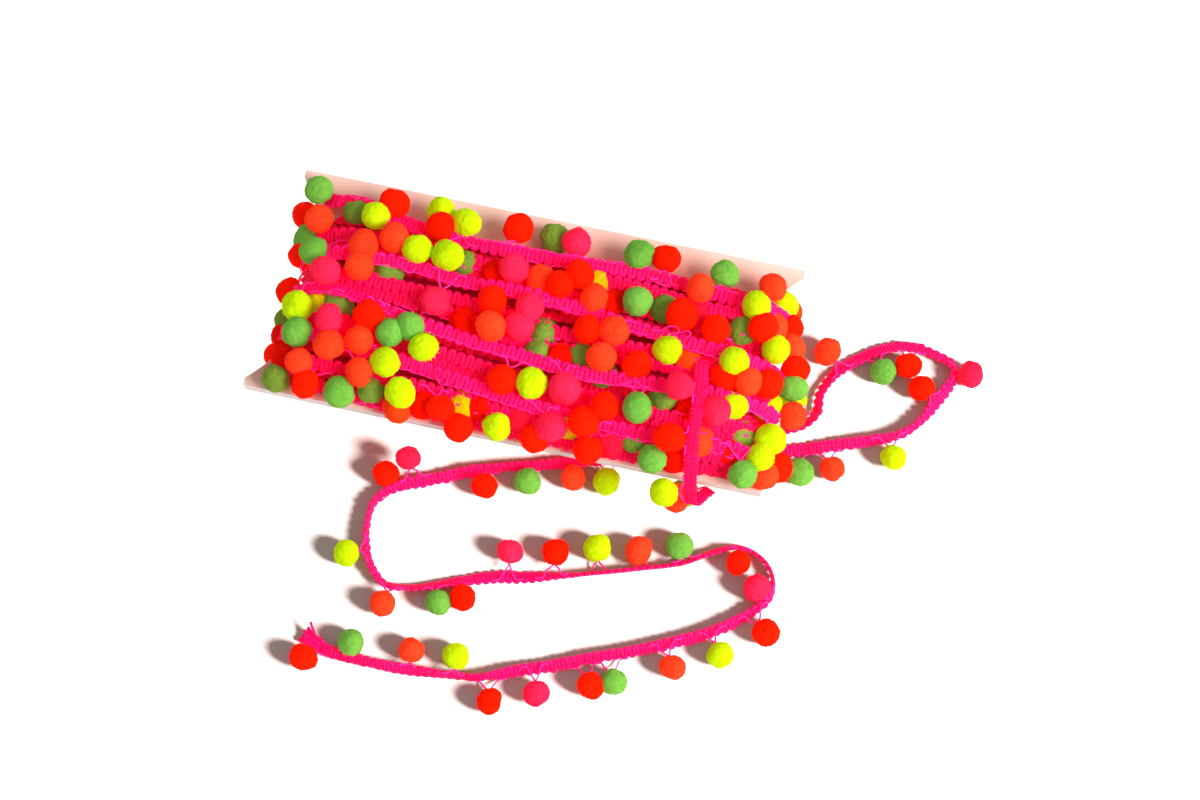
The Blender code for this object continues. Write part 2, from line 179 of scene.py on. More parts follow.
def yarn(name, colour, shade, fibre_scale, depth, glow=PAINTED_GLOW):
    """Twisted yarn: fine fibres, with painted shade between them, uneven in patches, and a
    painted red glow.
    """
    dye = Dye(name, colour, roughness=0.6, Specular_IOR_Level=0.12, Emission_Strength=glow,
              Emission_Color=YARN_GLOW)
    fibres = dye.noise(fibre_scale, detail=3.0, roughness=0.6)
    patches = dye.noise(160.0)
    # painted shade between the fibres, uneven in patches
    patchy_fibre_shade = dye.between(fibres + patches * 0.5, 0.55, 0.95)
    dye.set("Base Color", dye.blend(patchy_fibre_shade, shade, colour))
    dye.bump(fibres, depth)
    return dye.material


# colour, painted shade between the fibres, fibres to a metre, their depth and how much painted
# glow they have
braid_yarn = yarn("braid yarn", (1.0, 0.005, 0.2), (0.85, 0.002, 0.1), 2600.0, 0.00012)
# The warp's darker crimson is painted shade, seen in the grooves between the ribs.
warp_yarn = yarn("warp yarn", (0.78, 0.0, 0.04), (0.6, 0.0, 0.025), 2600.0, 0.00012, 0.1)

BRAID_WIDTH = 5.5
BRAID_THICK = 1.6
YARN_OVER = 1.0  # the yarn's width, in rib pitches
YARN_UP = 0.72
YARN_SIDES = 6
RIB_PATH = (
    # along, in rib pitches; across, from one edge to the other
    (-0.01, -0.7), (0.0, 0.0), (0.01, 0.7), (0.1, 0.92), (0.5, 1.0), (0.9, 0.92),
)
UNEVEN_ALONG = 0.05  # how far a rib strays along, in pitches, then across and up, in mm
UNEVEN_ACROSS = 0.14
UNEVEN_UP = 0.06
WARP_WIDE = 2.6
WARP_TALL = 0.5
STITCH_LINES = (-0.85, 0.85)
STITCH_SUNK = 0.08
STITCH_BOB = 0.1
STITCH_WIDE = 0.22
STITCH_TALL = 0.15

chance = np.random.default_rng(7)


class Line:
    """The run of a braid: its middle, the way across it and out of its upper face."""

    def __init__(self, middles, across):
        self.middles = middles
        steps = np.linalg.norm(np.diff(middles, axis=0), axis=1)
        self.marks = np.append(0.0, np.cumsum(steps))
        self.length = self.marks[-1]
        along = unit(np.gradient(middles, axis=0))
        self.across = unit(across - along * (across * along).sum(axis=1, keepdims=True))
        self.out = np.cross(along, self.across)
        self.along = along

    def at(self, s, x=0.0, z=0.0):
        """Points at arc lengths s, x across and z out of the face."""
        middle, across, out = (self.read(v, s) for v in (self.middles, self.across, self.out))
        return (middle + across * np.broadcast_to(x, s.shape)[:, None]
                + out * np.broadcast_to(z, s.shape)[:, None])

    def read(self, vectors, s):
        return np.column_stack([np.interp(s, self.marks, v) for v in vectors.T])


def unit(vectors):
    return vectors / np.maximum(np.linalg.norm(vectors, axis=-1, keepdims=True), 1e-9)


def walls(rings, sides):
    """The faces between rings of points that each go once round."""
    corner = np.arange(rings - 1)[:, None] * sides + np.arange(sides)[None]
    beside = np.arange(rings - 1)[:, None] * sides + (np.arange(sides)[None] + 1) % sides
    faces = np.stack((corner, beside, beside + sides, corner + sides), axis=-1)
    return faces.reshape(-1, 4).tolist()


def tube(points, out, wide, tall, sides):
    """A tube with an oval section along points: wide sideways, tall along out."""
    along = unit(np.gradient(points, axis=0))
    side = unit(np.cross(along, out))
    up = np.cross(side, along)
    angles = np.arange(sides) * 2 * math.pi / sides + math.pi / sides
    wide = np.broadcast_to(wide, len(points))[:, None, None]
    tall = np.broadcast_to(tall, len(points))[:, None, None]
    rings = (points[:, None] + side[:, None] * wide * np.cos(angles)[None, :, None]
             + up[:, None] * tall * np.sin(angles)[None, :, None])
    last = (len(points) - 1) * sides
    caps = [list(range(sides))[::-1], list(range(last, last + sides))]
    return rings.reshape(-1, 3), walls(len(points), sides) + caps


def make(name, parts, *dyes, smooth=True):
    """One object from parts: (points in mm, faces) or (points, faces, which dye)."""
    points, faces, which = [], [], []
    start = 0
    for part in parts:
        points.append(part[0])
        faces += [[start + i for i in face] for face in part[1]]
        which += [part[2] if len(part) > 2 else 0] * len(part[1])
        start += len(part[0])
    mesh = bpy.data.meshes.new(name)
    points = np.concatenate(points)
    points[:, 2] = np.maximum(points[:, 2], 0.0)  # what touches the table lies flat on it
    mesh.from_pydata(points * MM, [], faces)
    for dye in dyes:
        mesh.materials.append(dye)
    mesh.polygons.foreach_set("use_smooth", [smooth] * len(faces))
    mesh.polygons.foreach_set("material_index", which)
    mesh.update()
    thing = bpy.data.objects.new(name, mesh)
    bpy.context.scene.collection.objects.link(thing)
    return thing


def ribs(line, pitch, faces=(1, -1), sides=YARN_SIDES, up=YARN_UP, width=BRAID_WIDTH):
    """A braid along a line: its yarn to and fro, the warp within, and the stitches."""
    count = round(line.length / pitch)
    pitch = line.length / count
    path = np.array(RIB_PATH)
    rib = np.arange(count)[:, None]
    slack = chance.normal(0, 1, (count, 1))
    u = (rib + path[:, 0] + slack * UNEVEN_ALONG).ravel()
    edge = width / 2 - pitch * YARN_OVER / 2 + slack * UNEVEN_ACROSS
    x = (edge * path[:, 1] * np.where(rib % 2, -1, 1)).ravel()
    s = np.clip(u * pitch, 0, line.length)
    loft = np.repeat(slack * UNEVEN_UP, len(path), axis=1).ravel()
    points = line.at(s, x, loft)
    parts = [tube(points, line.read(line.out, s), pitch * YARN_OVER / 2, up, sides)]
    place = np.linspace(0, line.length, count // 2)
    parts.append((*tube(line.at(place), line.read(line.out, place), WARP_WIDE, WARP_TALL, 4), 1))
    step = np.arange(count * 2 + 1) / 2
    place = pitch * step
    bob = STITCH_BOB * np.cos(2 * math.pi * step)
    for face in faces:
        for across in STITCH_LINES:
            run = line.at(place, across, face * (up - STITCH_SUNK - bob))
            parts.append(tube(run, line.read(line.out, place), STITCH_WIDE - bob,
                              STITCH_TALL, 3))
    return parts


# ---------------------------------------------------------------- the pompoms
# Balls of shorn acrylic in five loud colours, which repeat in sixes; those down among the turns
# are dyed darker and redder, as painted shade and painted red bounce light. Each is tied to the
# braid's edge by two legs of a paler pink thread.

POMPOM_COLOURS = {
    # name: (lit, painted shade between the fibres, painted shade and red bounce light for those
    # down among the turns)
    "red": ((1.0, 0.0105, 0.0002), (0.8, 0.005, 0.0001), (0.88, 0.0045, 0.0005)),
    "green": ((0.145, 0.37, 0.048), (0.082, 0.25, 0.024), (0.17, 0.27, 0.032)),
    "coral": ((1.0, 0.05, 0.013), (0.82, 0.024, 0.006), (0.95, 0.045, 0.005)),
    "yellow": ((0.45, 0.66, 0.002), (0.34, 0.48, 0.0015), (0.58, 0.42, 0.002)),
    "pink": ((1.0, 0.018, 0.072), (0.82, 0.007, 0.036), (0.9, 0.008, 0.036)),
}
COLOUR_REPEAT = ("red", "green", "coral", "yellow", "red", "pink")
SUNK_PAINTED_GLOW = 0.15
SUNK_SHADE = 0.7  # how dark the painted shade between a sunk pompom's fibres is


def shorn(name, lit, shaded, glow=PAINTED_GLOW):
    """Shorn acrylic: a nap of cut fibre ends, flecked with painted shade between them and tone
    that differs by batch, quite matte, with a painted glow.
    """
    dye = Dye(name, lit, roughness=0.9, Sheen_Weight=0.2, Sheen_Roughness=0.5,
              Sheen_Tint=(*lit, 1.0), Specular_IOR_Level=0.03,
              Emission_Strength=glow, Emission_Color=(*lit, 1.0))
    ends = dye.noise(2300.0, detail=3.0, roughness=0.65)
    tufts = dye.noise(520.0)
    batch = dye.noise(45.0, detail=1.0)
    fibre_shade_and_batch = dye.between(ends * 0.5 + tufts * 0.3 + batch * 0.35, 0.44, 0.66)
    dye.set("Base Color", dye.blend(fibre_shade_and_batch, shaded, lit))
    dye.bump(ends * 0.5 + tufts, 0.0006)
    return dye.material


pompom_dyes = {}
for name, (lit, shaded, sunk) in POMPOM_COLOURS.items():
    pompom_dyes[name] = shorn(name + " pompom", lit, shaded)
    # A darker, redder copy of each colour: painted shade and painted red bounce light for pompoms
    # down among the turns.
    pompom_dyes[name + "_sunk"] = shorn(name + " sunk pompom", sunk, tuple(
        SUNK_SHADE * value for value in sunk), SUNK_PAINTED_GLOW)

PITCH = 17.3
BALL = 5.05
LUMPS = (
    # waves round the ball, depth in radii
    (2, 0.03), (3.5, 0.024), (7, 0.014), (15, 0.009),
)
NAP = 0.013
DENT_DEEP = 0.12
DENT_WIDE = 0.06
FLAT_FROM = 0.93  # how far out, in radii, the shears may have cut a ball flat
FLAT_ROUND = 0.1
FLAT_SHARE = 0.5
FIBRE_ROOT = 0.97
FIBRE_WIDE = 0.1
FIBRE_SHORTEST = 0.35
FIBRE_LONGEST = 0.85


def ball_form(detail):
    """Directions and faces of an even ball, made once for each detail."""
    form = bmesh.new()
    bmesh.ops.create_icosphere(form, subdivisions=detail, radius=1.0)
    points = np.array([v.co for v in form.verts])
    faces = [[v.index for v in face.verts] for face in form.faces]
    form.free()
    return points, faces


BALL_FORMS = {detail: ball_form(detail) for detail in (3, 4)}


def pompom(middle, knot, radius, detail=4, fibres=220):
    """A shorn pompom: uneven, drawn in at its knot, with a few stray fibres."""
    forms, faces = BALL_FORMS[detail]
    chance.normal(size=9)  # not used, but every ball keeps its shape by it
    squash = 1 + chance.normal(0, 0.03, 3)
    swell = np.zeros(len(forms))
    for many, depth in LUMPS:
        for _ in range(3):
            way = unit(chance.normal(size=3))
            swell += depth * np.sin(many * (forms @ way) + chance.uniform(0, 6.28))
    swell += chance.normal(0, NAP, len(forms))
    dent = np.exp(-((1 - forms @ knot) / DENT_WIDE) ** 1.5) * DENT_DEEP
    shear = chance.uniform(FLAT_FROM, 1.0)
    shorn_way = unit(chance.normal(size=3))
    cut = np.clip(forms @ shorn_way - shear + FLAT_ROUND, 0, None) * FLAT_SHARE
    reach = radius * (1 + swell - dent - cut)
    shell = forms * reach[:, None] * squash + middle
    ways = unit(chance.normal(size=(fibres, 3)))
    lean = unit(ways + chance.normal(0, 0.5, (fibres, 3)))
    side = unit(np.cross(lean, chance.normal(size=(fibres, 3)))) * FIBRE_WIDE
    foot = ways * radius * squash * FIBRE_ROOT + middle
    tip = foot + lean * chance.uniform(FIBRE_SHORTEST, FIBRE_LONGEST, (fibres, 1))
    corners = np.stack((foot - side, foot + side, tip), axis=1).reshape(-1, 3)
    return [(shell, faces), (corners, np.arange(fibres * 3).reshape(-1, 3).tolist())]


def curve(stops, parts):
    """Points of a smooth curve through stops, at these parts of each stretch."""
    ends = np.vstack((2 * stops[0] - stops[1], stops, 2 * stops[-1] - stops[-2]))
    run = []
    for a, b, c, d in zip(ends, ends[1:], ends[2:], ends[3:]):
        for t in parts:
            run.append(((3 * (b - c) + d - a) * t ** 3 + (2 * a - 5 * b + 4 * c - d) * t ** 2
                        + (c - a) * t + 2 * b) / 2)
    return np.array(run + [stops[-1]])


tying_thread = yarn("tying thread", (1.0, 0.03, 0.38), (0.95, 0.015, 0.28), 4200.0, 0.00006)
THREAD_RADIUS = 0.36
LEG_SPREAD = 3.4
LEG_LEAST = 1.4
LEG_RUN = 1.9  # how far a leg runs along the braid's edge, in spreads
OVER_EDGE = 0.5
OVER_BRAID = 1.1
FROM_EDGE = 0.3
INTO_BALL = 0.7


def thread(stops, radius=THREAD_RADIUS, sides=4):
    """A thread through a few stops, gently curved."""
    run = curve(np.array(stops), (0, 0.33, 0.67))
    out = np.cross(unit(np.gradient(run, axis=0)), (0.3, 0.5, 0.81))
    return tube(run, out, radius, radius, sides)


def tie(line, s, side, middle, size, thick=THREAD_RADIUS):
    """The two legs of thread that hang a pompom from a braid, some from its far edge."""
    edge = side * (BRAID_WIDTH / 2 - FROM_EDGE) * chance.choice([1, 1, -0.6])
    foot = line.at(np.array([s]), edge)[0]
    knot = middle + unit(foot - middle) * (size - INTO_BALL)
    gap = np.linalg.norm(foot - knot)
    spread = max(LEG_LEAST, min(LEG_SPREAD, 0.9 * gap + 1.0))
    legs = []
    for hand in (-1, 1):
        reach = hand * spread * chance.uniform(0.75, 1.2)
        marks = np.clip(np.array([s + reach * LEG_RUN, s + reach]), 0, line.length)
        on_edge = line.at(marks, edge, OVER_EDGE if edge * side > 0 else OVER_BRAID)
        bend = on_edge[1] * 0.5 + knot * 0.5 + chance.normal(0, 0.06 * gap + 0.1, 3)
        legs.append(thread([on_edge[0], on_edge[1], bend, knot, middle], thick))
    return legs


# ---------------------------------------------------------------- the loose trim
# The free end lies before the roll in three runs with two bends, and a slack loop lies off
# the roll's right end. Both lean between flat and on edge, and rest level on the table.

TAIL_ROUTE = (
    # x, y, lean, rise
    (-55.0, -130.0, 20, 0), (-46.0, -133.5, 25, 0), (-34.0, -134.5, 50, 0),
    (-22.0, -134.5, 50, 0), (-11.0, -134.0, 50, 0), (0.0, -133.0, 75, 0),
    (12.0, -131.0, 75, 0), (24.0, -126.0, 40, 0), (36.0, -121.5, 30, 0),
    (50.0, -115.5, 45, 0), (66.0, -109.0, 45, 0), (81.0, -102.0, 40, 0),
    (94.0, -95.0, 45, 0), (104.0, -87.0, 55, 0), (110.5, -80.0, 65, 0),
    (112.0, -74.0, 80, 0), (109.5, -67.5, 80, 0), (104.0, -63.0, 75, 0),
    (96.0, -61.5, 70, 0), (87.0, -65.5, 62, 0), (76.0, -72.5, 75, 0),
    (62.0, -77.5, 80, 0), (47.0, -82.5, 78, 0), (34.0, -86.5, 60, 0),
    (20.0, -90.0, 20, 0), (8.0, -92.5, 10, 0), (-7.0, -98.0, 40, 0),
    (-20.0, -103.0, 55, 0), (-31.0, -104.5, 58, 0), (-38.0, -99.5, 60, 0),
    (-42.5, -91.5, 68, 0), (-44.5, -82.0, 80, 0), (-43.5, -72.5, 75, 0),
    (-36.0, -65.5, 55, 0), (-24.0, -60.0, 30, 0), (-11.0, -54.0, 45, 0),
    (3.0, -49.0, 70, 0), (17.0, -45.0, 55, 0), (30.0, -40.5, 45, 0),
    (41.0, -37.0, 30, 0.5), (51.0, -37.0, 20, 4.3), (60.0, -37.3, 10, 8.2),
)
LOOP_ROUTE = (
    # x, y, lean, rise
    (84.0, -25.5, 10, 7.6), (91.0, -23.5, 10, 4.0), (99.0, -21.5, 10, 1.0),
    (108.0, -19.0, 10, 0), (118.0, -15.3, 10, 0),
    (128.0, -12.0, 30, 0), (139.0, -8.0, 50, 0), (149.0, -3.5, 65, 0),
    (156.0, 4.0, 60, 0), (160.5, 13.0, 30, 0), (164.5, 21.0, 45, 0),
    (165.5, 27.5, 48, 0), (160.0, 31.5, 28, 0), (149.0, 33.5, 24, 0),
    (139.0, 31.5, 22, 0), (128.0, 24.5, 15, 0), (119.5, 15.5, 30, 0),
    (115.5, 6.0, 50, 0), (115.5, -2.0, 45, 0), (110.5, -8.5, 42, 0),
    (102.0, -12.5, 40, 0.3), (94.0, -14.8, 30, 2.0), (86.0, -16.0, 15, 4.6),
)
TAIL_POMPOMS = (
    # many, side, reach, ahead, up
    (1, -1, 7.5, 4.0, 0.0), (1, 1, 5.0, 0.0, 0.0), (2, 1, 6.8, 6.0, 0.0),
    (2, -1, 10.0, 1.5, 0.0), (1, -1, 10.7, 3.5, 0.0), (1, -1, 10.8, -4.5, 0.0),
    (3, -1, 9.7, 0.0, 0.0), (1, 1, 5.8, -8.5, 0.0), (1, 1, 6.6, 0.0, 0.0),
    (2, -1, 6.5, 5.0, 0.0), (3, -1, 9.0, 3.5, 0.0), (1, 1, 7.2, 5.0, 0.0),
    (3, 1, 7.5, -3.0, 0.0), (1, 1, 5.8, 8.0, 0.0), (1, 1, 7.5, -1.0, 6.0),
    (3, -1, 7.4, 9.0, 0.0), (1, -1, 10.5, 5.0, 0.0),
)
LOOP_POMPOMS = (
    # many, side, reach, ahead, up
    (1, -1, 7.9, 5.5, 0.0), (1, -1, 8.4, 2.8, 2.5), (1, -1, 10.4, -6.2, 0.0),
    (1, -1, 10.4, -10.7, 0.0), (1, -1, 9.0, -4.2, 0.0), (1, 1, 7.7, 4.0, 0.0),
    (1, -1, 5.6, 1.0, 0.0), (1, 1, 9.1, 6.0, 0.0), (1, 1, 9.7, 4.0, 0.0),
    (1, -1, 8.2, 1.0, 0.0), (1, -1, 10.0, 9.5, 0.0),
)
TAIL_FIRST_COLOUR = 0
LOOP_FIRST_COLOUR = 5
RIB_RELAXED = 1.5
ROUTE_STEP = 0.5
BALL_ON_TABLE = 1.02  # the nap holds a ball's middle this many radii up


def smooth(route):
    """Points a step apart on a smooth curve through a route, end to end."""
    fine = curve(np.array(route, dtype=float), np.arange(0, 1, 0.05))
    gone = np.cumsum(np.append(0, np.linalg.norm(np.diff(fine[:, :3], axis=0), axis=1)))
    marks = np.linspace(0, gone[-1], round(gone[-1] / ROUTE_STEP) + 1)
    return np.column_stack([np.interp(marks, gone, column) for column in fine.T])


ON_TABLE = 0.15  # the slack yarns hold a braid this much off the table


def floor_line(route):
    """The line of a braid that rests on the table, from (x, y, lean, rise)."""
    placed = []
    for x, y, lean, rise in route:
        angle = math.radians(lean)
        half = (BRAID_WIDTH * math.sin(angle) + BRAID_THICK * math.cos(angle)) / 2 + ON_TABLE
        placed.append((x, y, half + rise, lean))
    run = smooth(placed)
    along = np.gradient(run[:, :3], axis=0)
    left = unit(np.column_stack((-along[:, 1], along[:, 0], np.zeros(len(run)))))
    lean = np.radians(run[:, 3:])
    return Line(run[:, :3], left * np.cos(lean) + np.array((0, 0, 1.0)) * np.sin(lean))


def loose_trim(name, line, table, first_colour, exit_last, cut_end, **facts):
    """A braid with its threads and pompoms, made in place of the part and attached to the root.
    """
    braid = make(name + "_braid", ribs(line, RIB_RELAXED), braid_yarn, warp_yarn)
    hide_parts(name)
    threads, balls = [], {colour: [] for colour in POMPOM_COLOURS}
    rows = [row[1:] for row in table for _ in range(row[0])]
    for i, (side, reach, ahead, up) in enumerate(rows):
        s = min(max(i * PITCH + ahead, 0.0), line.length)
        mark = np.array([s])
        foot = line.at(mark)[0]
        left = line.read(line.across, mark)[0] * (1, 1, 0)
        middle = foot + unit(left) * side * reach
        middle[2] = BALL * BALL_ON_TABLE + up
        size = BALL * chance.uniform(0.95, 1.05)
        threads += tie(line, s, side, middle, size)
        colour = COLOUR_REPEAT[(first_colour + i) % len(COLOUR_REPEAT)]
        balls[colour] += pompom(middle, unit(foot - middle), size)
    pieces = [make(name + "_threads", threads, tying_thread)]
    if cut_end:
        pieces.append(make(name + "_cut_end", cut_end, braid_yarn))
    for colour, parts in balls.items():
        if parts:
            pieces.append(make(f"{name}_{colour}_pompoms", parts, pompom_dyes[colour]))
    for piece in (braid, *pieces):
        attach(piece, "root")


FRAYED_YARNS = 16
FRAYED_BACK = 7.0
FRAYED_OUT = 2.6
FRAYED_RADIUS = 0.55
FRAYED_LOW = 0.7
LOOSE_CORD = (
    # x, y, z from where it leaves the braid
    (0, 0, 0), (-0.2, 1.6, 1.5), (-1.4, 3.2, 2.4), (-2.3, 4.8, 2.6),
)


def frayed_end(line):
    """Where a braid was cut: its yarns come loose in a tuft, and one cord sticks up."""
    tuft = []
    for across in np.linspace(-1, 1, FRAYED_YARNS):
        marks = np.array([FRAYED_BACK * chance.uniform(0.5, 1.0), 2.5, 0.6])
        root = line.at(marks, across * BRAID_WIDTH * 0.4, chance.uniform(-0.2, 0.8))
        tip = root[2] - line.along[0] * FRAYED_OUT * chance.uniform(0.7, 1.3)
        tip += line.across[0] * across * 0.5 + chance.normal(0, 0.35, 3)
        stops = np.vstack((root, tip))
        stops[:, 2] = np.maximum(stops[:, 2], FRAYED_LOW)
        tuft.append(thread(stops, FRAYED_RADIUS, 5))
    top = line.at(np.array([2.0]), BRAID_WIDTH * 0.25, 0.8)[0]
    tuft.append(thread(top + np.array(LOOSE_CORD), FRAYED_RADIUS, 6))
    return tuft


tail_line = floor_line(TAIL_ROUTE)
loop_line = floor_line(LOOP_ROUTE)
loose_trim("tail", tail_line, TAIL_POMPOMS, TAIL_FIRST_COLOUR, True, frayed_end(tail_line),
           far_end="bare")
loose_trim("loop", loop_line, LOOP_POMPOMS, LOOP_FIRST_COLOUR, False, [], far_end="object")


# ---------------------------------------------------------------- the wound trim
# The same braid wound lengthwise round the card, layer on layer. The outer turns cross a
# little, some pulled tight and some riding high, and their pompoms nest between them.

CARD_THICK = 5.0
MIDDLE = 24.5  # the card's middle above the table
HALF_LENGTH = 95.0
LEFT_SHORT = 8.0  # how much sooner the roll ends at the left
END_ROUND = 20.0
LOAF_MIDDLE_Y = -3.5
LOAF_HALF_WIDTH = 42.0
RISE_OVER = 11.5
RISE_UNDER = 13.0
WOUND_WIDTH = 6.2  # the braid, pulled flat over the roll
RIB_PULLED = 1.8
STATIONS = (-90, -70, -50, -30, -10, 10, 30, 50, 70, 90)
TURNS = (
    # y over the card at each station along it; lift over the loaf; tilt at the left and
    # right; where its pompoms start; the place in the repeat; which way it runs; their side
    ((28.5, 30.5, 29.7, 28.9, 28.5, 28.5, 29.1, 29.7, 30.5, 30.5), -4.6, -20, -20, 14.0, 1, 1, 1),
    ((34.5, 32.5, 26.8, 25.3, 25.1, 25.3, 26.3, 26, 24.5, 23.5), 2.4, 32, 34, 12.0, 3, 1, 1),
    ((17.5, 18.8, 19.1, 17.3, 16.3, 18, 20.9, 19.5, 16.9, 20), 1.8, 26, 24, 8.0, 4, -1, -1),
    ((12.5, 14, 14.5, 13.5, 11.5, 11.5, 13, 12.5, 9.5, 8.5), -0.8, 20, 30, 0.0, 5, 1, -1),
    ((7, 9.5, 9.9, 7.1, 6.8, 6.3, 4.5, 2.3, 0.1, -1.3), 4.5, 8, 12, 2.0, 0, 1, -1),
    ((1.5, 1.1, 1.3, 0.9, -1.5, -4.9, -5.1, -4.3, -5.5, -7.5), 1.4, 15, 45, 15.0, 1, -1, 1),
    ((-2.5, -3.1, -3.9, -4.7, -8.5, -11.9, -9.7, -9.1, -10.5, -11.5), 0.8, 0, 75, 10.0, 5, 1, 1),
    ((-6.5, -6.8, -10.3, -13.8, -16.3, -18.2, -19.7, -18, -16.1, -16.7),
     4.6, -20, 14, 11.0, 4, 1, -1),
    ((-13.5, -16.5, -20, -21.8, -23.7, -25, -26.1, -27.1, -28.5, -24.5),
     1.4, 12, 6, 4.0, 0, -1, 1),
    ((-18.5, -20.5, -23.5, -26, -28, -30, -30.5, -31.3, -32, -29.5), 0.2, 0, 0, 9.0, 2, 1, 1),
    ((-23.5, -25.1, -26.9, -30.2, -32.5, -34.7, -35.2, -35.9, -35.5, -34.5),
     4.2, -8, 2, 11.0, 1, 1, -1),
    ((-31.5, -34.7, -35.9, -35.9, -37.4, -38.9, -39.5, -39.9, -39.5, -38.3),
     2.0, 6, 8, 15.0, 5, 1, -1),
    ((-39.3, -41.6, -43, -43, -42.9, -42.8, -43, -43.2, -42.7, -40.6),
     -1.2, 2, 4, 13.0, 5, 1, 1),
)
ON_TOP = 2.2  # lift of the turns that lie over the others
TURN_POINTS = 1000
UNDER_MIDDLE = 2.5  # where a turn starts: half way along the underside
TURN_LENGTH = 440
EASED_OVER = 45
TUCKED = 0.12  # share by which the winding draws in underneath
TURNED_DOWN = 0.9  # degrees of lean for each millimetre from the middle
FLAT_WITHIN = 15
WANDER_ASIDE = (0.3, 90)  # how far a turn wanders, and over what length
WANDER_UP = (0.35, 70)
WANDER_LEAN = (9, 55)


def crown(y, rise):
    across = np.clip(abs(y - LOAF_MIDDLE_Y) / LOAF_HALF_WIDTH, 0, 1)
    return CARD_THICK / 2 + rise * np.sqrt(1 - across * across)


def skin(way, y, lift):
    """Points on the loaf. way runs from 0 to 4: over, right end, under, left end."""
    right = HALF_LENGTH - END_ROUND
    left = LEFT_SHORT - right
    stretch = np.floor(way).astype(int) % 4
    part = way - np.floor(way)
    over, under = crown(y, RISE_OVER) + lift, crown(y, RISE_UNDER) + lift
    angle = math.pi * (0.5 - part) * np.where(stretch == 3, -1, 1)
    tall = np.where(angle > 0, over, under)
    ahead = (END_ROUND + lift) * np.cos(angle)
    along = np.where(stretch == 0, part, 1 - part)
    x = np.choose(stretch, (left + (right - left) * along, right + ahead,
                            left + (right - left) * along, left - ahead))
    z = np.choose(stretch, (over, tall * np.sin(angle), -under, tall * np.sin(angle)))
    return np.column_stack((x, y + 0 * x, z + MIDDLE))


def wander(s, size, wave, seed):
    """A slow wandering value along a length."""
    draw = np.random.default_rng(seed)
    return size * sum(np.sin(s * many / wave * 6.28 + draw.uniform(0, 6.28)) / many
                      for many in (1.0, 1.9, 3.1))


def turn_line(number, turn):
    """The line of one turn, from the middle of the underside round to there again."""
    stops, lift, left_tilt, right_tilt = turn[:4]
    way = np.linspace(UNDER_MIDDLE, UNDER_MIDDLE + 4, TURN_POINTS) % 4
    stretch, part = np.floor(way).astype(int), way - np.floor(way)
    right = HALF_LENGTH - END_ROUND
    left, end = LEFT_SHORT - right, math.pi * END_ROUND
    along = np.choose(stretch, (left + (right - left) * part, right + end * part,
                                right + 0 * part, left - end * (1 - part)))
    y = np.interp(along, STATIONS, stops)
    y = np.where(stretch == 2, stops[-1] + (stops[0] - stops[-1]) * part, y)
    eased = np.hanning(EASED_OVER) / np.hanning(EASED_OVER).sum()
    y = np.convolve(np.tile(y, 3), eased, "same")[TURN_POINTS:2 * TURN_POINTS]
    tucked = np.where(stretch == 2, 1 - TUCKED * np.sin(math.pi * part) ** 0.5, 1)
    tilt = np.interp(along, (left, right), (left_tilt, right_tilt))
    s = np.linspace(0, TURN_LENGTH, TURN_POINTS)
    y = y * tucked + wander(s, *WANDER_ASIDE, number)
    rise = lift + wander(s, *WANDER_UP, number + 50)
    middles = skin(way, y, rise)
    out = unit(np.cross(np.gradient(middles, axis=0), (0, 1.0, 0)))
    slope = np.radians(-TURNED_DOWN * (y - LOAF_MIDDLE_Y))
    tilt = tilt + wander(s, *WANDER_LEAN, number + 90)
    lean = slope * (abs(y) > FLAT_WITHIN) + np.radians(tilt)
    across = np.array((0, 1.0, 0)) * np.cos(lean)[:, None] + out * np.sin(lean)[:, None]
    return Line(middles, across)


# Turns that lie low take a darker, redder yarn: painted shade.
sunk_yarn = yarn("sunk yarn", (1.0, 0.002, 0.12), (0.82, 0.001, 0.055), 2600.0, 0.00012, 0.18)
turn_lines = [turn_line(i, turn) for i, turn in enumerate(TURNS)]
wound = []
for i, line in enumerate(turn_lines):
    wound.append(make(f"turn_{i + 1}", ribs(line, RIB_PULLED, faces=(1,), width=WOUND_WIDTH),
                      braid_yarn if TURNS[i][1] > ON_TOP else sunk_yarn, warp_yarn))

# Beneath them, the inner turns cross one another in a darker yarn, as painted shade, and the core
# shows only as dark ridges of painted shade.
inner_yarn = yarn("inner yarn", (0.9, 0.001, 0.08), (0.7, 0.0, 0.04), 2600.0, 0.00012, 0.1)
INNER_TURNS = 12
INNER_MIDDLE_Y = -7.0
INNER_STEP = 6.2
INNER_CROSS = 5.0
INNER_SINK = -2.6
INNER_TILT = 20
RIB_INNER = 2.2
inner_lines = []
for i in range(INNER_TURNS):
    y = INNER_MIDDLE_Y + (i - (INNER_TURNS - 1) / 2) * INNER_STEP
    cross = INNER_CROSS * (-1) ** i * (1 - abs(y - INNER_MIDDLE_Y) / LOAF_HALF_WIDTH)
    inner_lines.append(turn_line(i + 20, (np.linspace(y + cross, y - cross, len(STATIONS)),
                                          INNER_SINK, INNER_TILT * (-1) ** i,
                                          INNER_TILT * (-1) ** i)))
wound.append(make("inner_turns", [part for line in inner_lines
                                  for part in ribs(line, RIB_INNER, faces=(), sides=4)],
                  inner_yarn, warp_yarn))

